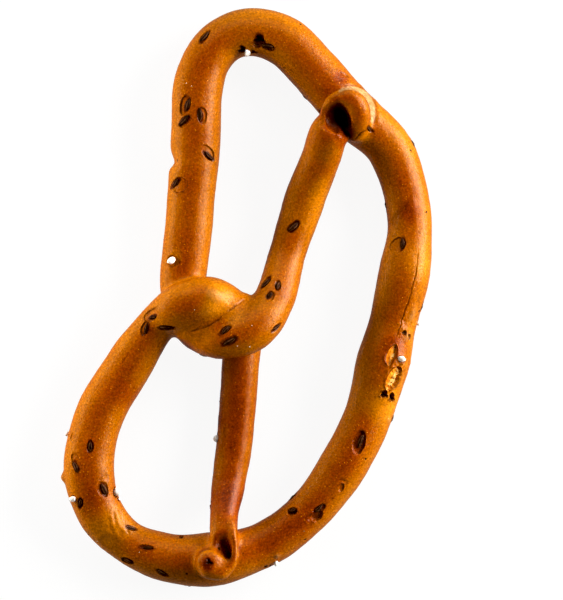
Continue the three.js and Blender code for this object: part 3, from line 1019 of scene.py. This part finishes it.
def scatter_tree(name, seed):
    """Sets one of three given shapes on each point, turned and sized by the point."""
    tree, given, out = new_tree(name, [("Shapes", "Collection"), ("Tilt", "Float"),
                                       ("Material", "Material")])
    shapes = add(tree, "GeometryNodeCollectionInfo", {
        "Collection": given.outputs["Shapes"], "Separate Children": True, "Reset Children": True})
    pick = add(tree, "FunctionNodeRandomValue", {4: 0, 5: 2, "Seed": seed}, data_type="INT")
    facing = add(tree, "FunctionNodeEulerToRotation",
                 {"Euler": named(tree, "facing", "FLOAT_VECTOR")})
    set_on = add(tree, "GeometryNodeInstanceOnPoints", {
        "Points": given, "Instance": shapes, "Pick Instance": True,
        "Instance Index": pick.outputs[2], "Rotation": facing,
        "Scale": named(tree, "size", "FLOAT_VECTOR")})
    most, least = [add(tree, "ShaderNodeVectorMath", {0: given.outputs["Tilt"], 1: (way,) * 3},
                       operation="MULTIPLY") for way in (1, -1)]
    tilt = add(tree, "FunctionNodeRandomValue", {0: least, 1: most, "Seed": seed + 1},
               data_type="FLOAT_VECTOR")
    turned = add(tree, "GeometryNodeRotateInstances", {"Instances": set_on, "Rotation": tilt})
    finish_tree(tree, turned, given.outputs["Material"], out)
    return tree


def scattered(name, places, shapes, seed, tilt, material):
    """One mesh of the shapes set at the places, each given as (middle, axes, size)."""
    mesh = bpy.data.meshes.new(name + "_places")
    mesh.from_pydata([tuple(middle) for middle, _, _ in places], [], [])
    facing = mesh.attributes.new("facing", "FLOAT_VECTOR", "POINT")
    size = mesh.attributes.new("size", "FLOAT_VECTOR", "POINT")
    for i, (_, axes, dimensions) in enumerate(places):
        facing.data[i].vector = Matrix(np.column_stack(axes).tolist()).to_euler()
        size.data[i].vector = dimensions
    points = new_object(name + "_places", mesh)
    group = bpy.data.collections.new(name + "_shapes")
    for i, shape in enumerate(shapes):
        group.objects.link(bpy.data.objects.new(f"{name}_shape_{i}", shape))
    result = run_tree(points, scatter_tree(name + "_scatter", seed), {
        "Shapes": group, "Tilt": tilt, "Material": material})
    drop(points)
    for obj in list(group.objects):
        drop(obj)
    bpy.data.collections.remove(group)
    return result


def caraway_seeds(places, material):
    """All the seeds, each sunk a little way into its hollow."""
    laid = [(point - out * SEED_SINK, (way, across, out), size)
            for (point, way, across, out), size in places]
    shapes = [seed_mesh("seed_straight", 0.02, 1.0, 0.4), seed_mesh("seed_bent", 0.18, 0.92, 2.2),
              seed_mesh("seed_blunt", -0.12, 1.10, 3.9)]
    return scattered("caraway_seeds", laid, shapes, 21, 0.22, material)


def salt_grains(places, material):
    """All the salt, from whole crystals down to dust, sitting in or on the crust."""
    laid = [(point + out * (lift + 0.1 * size), (way, across, out), (size, 0.86 * size, 0.7 * size))
            for (point, way, across, out), size, lift in places]
    shapes = [salt_mesh("salt_whole", 31, 9), salt_mesh("salt_chipped", 32, 12),
              salt_mesh("salt_broken", 33, 15)]
    return scattered("salt_grains", laid, shapes, 23, 0.2, material)


# ---- finishes
def tone(colour):
    """A linear colour from 0-255 screen values, or from one linear grey."""
    if not isinstance(colour, tuple):
        return colour, colour, colour, 1.0
    screen = [value / 255 for value in colour]
    return (*(value / 12.92 if value <= 0.04045 else ((value + 0.055) / 1.055) ** 2.4
              for value in screen), 1.0)


def shader(tree, kind, links=None, **settings):
    return add(tree, "ShaderNode" + kind, links, **settings)


def new_material(name, **uniform):
    """A material whose uniform values sit on its Principled shader, and its coordinates."""
    material = bpy.data.materials.new(name)
    material.use_nodes = True
    tree = material.node_tree
    tree.nodes.clear()
    surface = shader(tree, "BsdfPrincipled")
    for label, value in uniform.items():
        surface.inputs[label.replace("_", " ")].default_value = value
    shader(tree, "OutputMaterial", {"Surface": surface})
    return material, surface, shader(tree, "TexCoord").outputs["Object"]


def feed(surface, **sources):
    """Plugs results into the sockets of a surface."""
    for label, source in sources.items():
        surface.id_data.links.new(source, surface.inputs[label.replace("_", " ")])


def blend_in(factor, base, over):
    """Lays a colour over another by a factor, and gives the result's socket."""
    over = over if isinstance(over, bpy.types.NodeSocket) else tone(over)
    return shader(factor.id_data, "Mix", {0: factor, 6: base, 7: over}, data_type="RGBA",
                  clamp_factor=True).outputs[2]


def maths(operation, a, b):
    """A result worked out from another and a number or a second result."""
    return shader(a.id_data, "Math", {0: a, 1: b}, operation=operation).outputs[0]


def times(a, b):
    return maths("MULTIPLY", a, b)


def plus(a, b):
    return maths("ADD", a, b)


def ramp(value, stops):
    """A colour ramp through (place, colour) stops."""
    node = shader(value.id_data, "ValToRGB", {"Fac": value})
    elements = node.color_ramp.elements
    while len(elements) < len(stops):
        elements.new(0.5)
    for element, (place, colour) in zip(elements, stops):
        element.position = place
        element.color = tone(colour)
    return node.outputs["Color"]


def spots(where, scale, detail=2.0, rough=0.5):
    """Noise on the piece's own coordinates, its scale in patches for each metre."""
    return shader(where.id_data, "TexNoise", {"Vector": where, "Scale": scale, "Detail": detail,
                                              "Roughness": rough}).outputs["Fac"]


def attribute(where, name):
    return shader(where.id_data, "Attribute", attribute_name=name).outputs["Fac"]


def bump(height, strength, distance):
    return shader(height.id_data, "Bump", {"Height": height, "Strength": strength,
                                           "Distance": distance}).outputs["Normal"]


def crust_material():
    """Glazed brown crust: gold where it stayed pale, red-brown where it toasted, with painted shade
    on crowns, in creases, cracks and pits and round seeds, and painted highlight on a few crests.
    """
    material, surface, where = new_material("glazed_crust", IOR=1.45, Specular_IOR_Level=0.22)
    tree = material.node_tree
    toast_and_shade, floor, pale, rim_and_shade, crumb, fibre, burnt_and_shade = [
        attribute(where, name)
        for name in ("toast_and_shade", "floor", "pale", "rim_and_shade", "crumb", "fibre", "burnt_and_shade")]
    for scale, detail, change in ((330, 3, 0.16), (2600, 3, 0.3), (5200, 2, 0.3)):
        toast_and_shade = plus(toast_and_shade, times(plus(spots(where, scale, detail), -0.5), change))
    # The toast ramp carries real browning and painted shade (darker crowns, steep sides, pit
    # surrounds), with a few pale patches of painted highlight.
    colour = ramp(toast_and_shade, [(0.0, (200, 130, 24)), (0.3, (170, 105, 6)), (0.5, (156, 85, 3)),
                          (0.65, (144, 68, 1)), (0.82, (110, 44, 1)), (1.0, (74, 24, 2))])
    speckle = plus(times(spots(where, 2900, 2, 0.6), 1.4), 0.3)
    colour = shader(tree, "HueSaturation", {"Value": speckle, "Color": colour}).outputs[0]

    cells = shader(tree, "TexVoronoi", {"Vector": where, "Scale": 1500.0})
    few = shader(tree, "SeparateColor", {"Color": cells.outputs["Color"]}).outputs[0]
    granule = times(ramp(cells.outputs["Distance"], [(0.08, 1), (0.2, 0)]),
                    ramp(few, [(0.35, 0), (0.6, 1)]))
    pores = ramp(spots(where, 1900, 2), [(0.22, 1), (0.32, 0)])
    bare = ramp(spots(where, 2200, 3), [(0.35, (162, 122, 76)), (0.65, (190, 154, 108))])
    sponge = ramp(spots(where, 1800, 3), [(0.3, (176, 96, 6)), (0.65, (224, 152, 30))])
    # The dark red-brown (74, 20, 4) is reddish outlines and painted shade in cracks, creases, tears
    # and round seeds and pits; the near black (22, 8, 3) is painted shade in the pits and holes,
    # partly burnt crust; the pale dough colour also paints highlight on bubble tops.
    for mask, strength, over in (
            (granule, 0.75, (222, 148, 40)), (pores, 0.55, (84, 30, 4)),
            (floor, 0.25, (140, 66, 8)), (pale, 1, bare), (rim_and_shade, 0.9, (74, 20, 4)),
            (crumb, 1, sponge), (fibre, 1, (208, 170, 102)), (burnt_and_shade, 1, (22, 8, 3))):
        colour = blend_in(times(mask, strength), colour, over)

    dull = maths("MAXIMUM", burnt_and_shade, crumb)
    rough = plus(plus(times(dull, 0.3), 0.2), times(spots(where, 900, 3), 0.14))
    height = plus(spots(where, 2700, 4, 0.65), times(granule, 0.4))
    feed(surface, Base_Color=colour, Roughness=rough, Normal=bump(height, 0.65, 0.0001))
    return material


def caraway_material():
    """Dark brown seed husk with paler ribs."""
    material, surface, where = new_material("caraway_husk", IOR=1.45, Specular_IOR_Level=0.12)
    husk = ramp(spots(where, 1800, 3), [(0.3, (24, 11, 6)), (0.7, (62, 33, 18))])
    worn = times(attribute(where, "rib"), ramp(spots(where, 1200, 2), [(0.38, 0.1), (0.6, 0.9)]))
    feed(surface, Base_Color=blend_in(worn, husk, (128, 90, 62)),
         Roughness=plus(times(spots(where, 4000, 2), 0.3), 0.5),
         Normal=bump(spots(where, 6000, 2), 0.4, 0.00005))
    return material


def salt_material():
    """Milky white salt, slightly clear at its edges."""
    material, surface, where = new_material(
        "coarse_salt", Subsurface_Weight=0.5, Subsurface_Radius=(0.0008, 0.0007, 0.0006),
        Subsurface_Scale=1.0, IOR=1.54)
    cloud = ramp(spots(where, 2200, 3), [(0.3, (226, 218, 208)), (0.7, (252, 250, 248))])
    feed(surface, Base_Color=cloud, Roughness=plus(times(spots(where, 5000, 2), 0.3), 0.24))
    return material


def floor_material():
    """Even and pale; it shows only dimly in the glaze, as a dull tabletop does."""
    material, surface, where = new_material(
        "pale_floor", Emission_Color=tone(1.0), Roughness=0.8, Specular_IOR_Level=0.1)
    mirrored = shader(material.node_tree, "LightPath").outputs["Is Glossy Ray"]
    feed(surface, Base_Color=ramp(spots(where, 40, 2), [(0.3, 0.06), (0.7, 0.07)]),
         Emission_Strength=plus(times(mirrored, -0.5), 0.93))
    return material


# ---- pieces, floor, lights, camera
def add_piece(name, mesh, material):
    """A finished piece in metres, at the origin, riding on the object's one body."""
    mesh.name = name
    mesh.transform(Matrix.Scale(MM, 4))
    mesh.materials.clear()
    mesh.materials.append(material)
    mesh.polygons.foreach_set("use_smooth", [True] * len(mesh.polygons))
    mesh.update()
    piece = new_object(name, mesh)
    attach(piece, BODY)
    return piece


FLOOR_SIZE = 1.5         # half its side, in metres
FLOOR_LEVEL = -0.0002


def add_floor():
    mesh = bpy.data.meshes.new("floor")
    mesh.from_pydata([(x * FLOOR_SIZE, y * FLOOR_SIZE, FLOOR_LEVEL)
                      for x, y in ((-1, -1), (1, -1), (1, 1), (-1, 1))], [], [(0, 1, 2, 3)])
    mesh.materials.append(floor_material())
    new_object("floor", mesh)


def add_light(name, at, aim, size, power, colour, shiny):
    """A softbox at a place, turned towards another; one that isn't shiny leaves no gleam."""
    light = bpy.data.lights.new(name, "AREA")
    light.shape = "RECTANGLE"
    light.size, light.size_y = size
    light.energy = power
    light.color = colour
    obj = bpy.data.objects.new(name, light)
    bpy.context.scene.collection.objects.link(obj)
    obj.location = at
    obj.rotation_euler = (Vector(aim) - Vector(at)).to_track_quat("-Z", "Y").to_euler()
    obj.visible_glossy = shiny


WARM = (1.0, 0.97, 0.93)
LEFT = (-0.139, 0.028, 0.019), (-0.02, 0.01, 0), (0.12, 0.034)
# Softboxes, in metres and watts: name, place, aim, size, power, colour, whether it gleams
SOFTBOXES = [
    ("left_softbox", *LEFT, 0.225, WARM, False),
    ("left_gleam", *LEFT, 0.14, WARM, True),
    ("right_softbox", (0.536, 0.174, 0.205), (0, 0, 0), (0.5, 0.38), 10.1, (1, 0.98, 0.95), True),
    ("back_softbox", (-0.056, 0.645, 0.470), (0, 0, 0), (1.2, 0.6), 3.8, (1, 1, 1), True),
    ("front_softbox", (0, -0.65, 0.35), (0, 0, 0), (1, 0.5), 1.2, WARM, True),
]
ROOM_GREY = 0.8
ROOM_GLOW = 0.04


def add_lights():
    for softbox in SOFTBOXES:
        add_light(*softbox)
    world = bpy.data.worlds.new("room")
    world.use_nodes = True
    glow = world.node_tree.nodes["Background"]
    glow.inputs["Color"].default_value = tone(ROOM_GREY)
    glow.inputs["Strength"].default_value = ROOM_GLOW
    bpy.context.scene.world = world


VIEW_MIDDLE = (5.84, -0.44)     # what the middle of the view looks at
VIEW_LEVEL = 4.0                # the height at which the view is as wide as asked
VIEW_HEIGHT = 103.5             # how much of the floor the view takes in, top to bottom
CAMERA_UP = 700.0
SENSOR = 36.0


def add_camera():
    """A camera straight above, its frame's sides as wide as the view wanted."""
    data = bpy.data.cameras.new("camera")
    data.sensor_fit = "VERTICAL"
    data.sensor_height = SENSOR
    data.lens = SENSOR * (CAMERA_UP - VIEW_LEVEL) / VIEW_HEIGHT
    data.clip_start = 0.01
    data.clip_end = 10
    obj = bpy.data.objects.new("camera", data)
    bpy.context.scene.collection.objects.link(obj)
    obj.location = (VIEW_MIDDLE[0] * MM, VIEW_MIDDLE[1] * MM, CAMERA_UP * MM)
    bpy.context.scene.camera = obj


def set_view():
    """Deep, warm darks: more contrast, and less green and blue left in the shadows."""
    view = bpy.context.scene.view_settings
    view.view_transform = "Standard"
    view.gamma = 0.8
    view.use_curve_mapping = True
    view.curve_mapping.black_level = (0.003, 0.0085, 0.0105)
    view.curve_mapping.update()


def main():
    set_view()
    crust_mesh, seed_places, salt_places = crust_and_seed_places()
    crust = add_piece("crust", crust_mesh, crust_material())
    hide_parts(CAD_NODE)
    husk = caraway_material()
    add_piece("caraway_seeds", caraway_seeds(seed_places, husk), husk)
    white = salt_material()
    add_piece("salt_grains", salt_grains(salt_places, white), white)
    add_floor()
    add_lights()
    add_camera()


main()
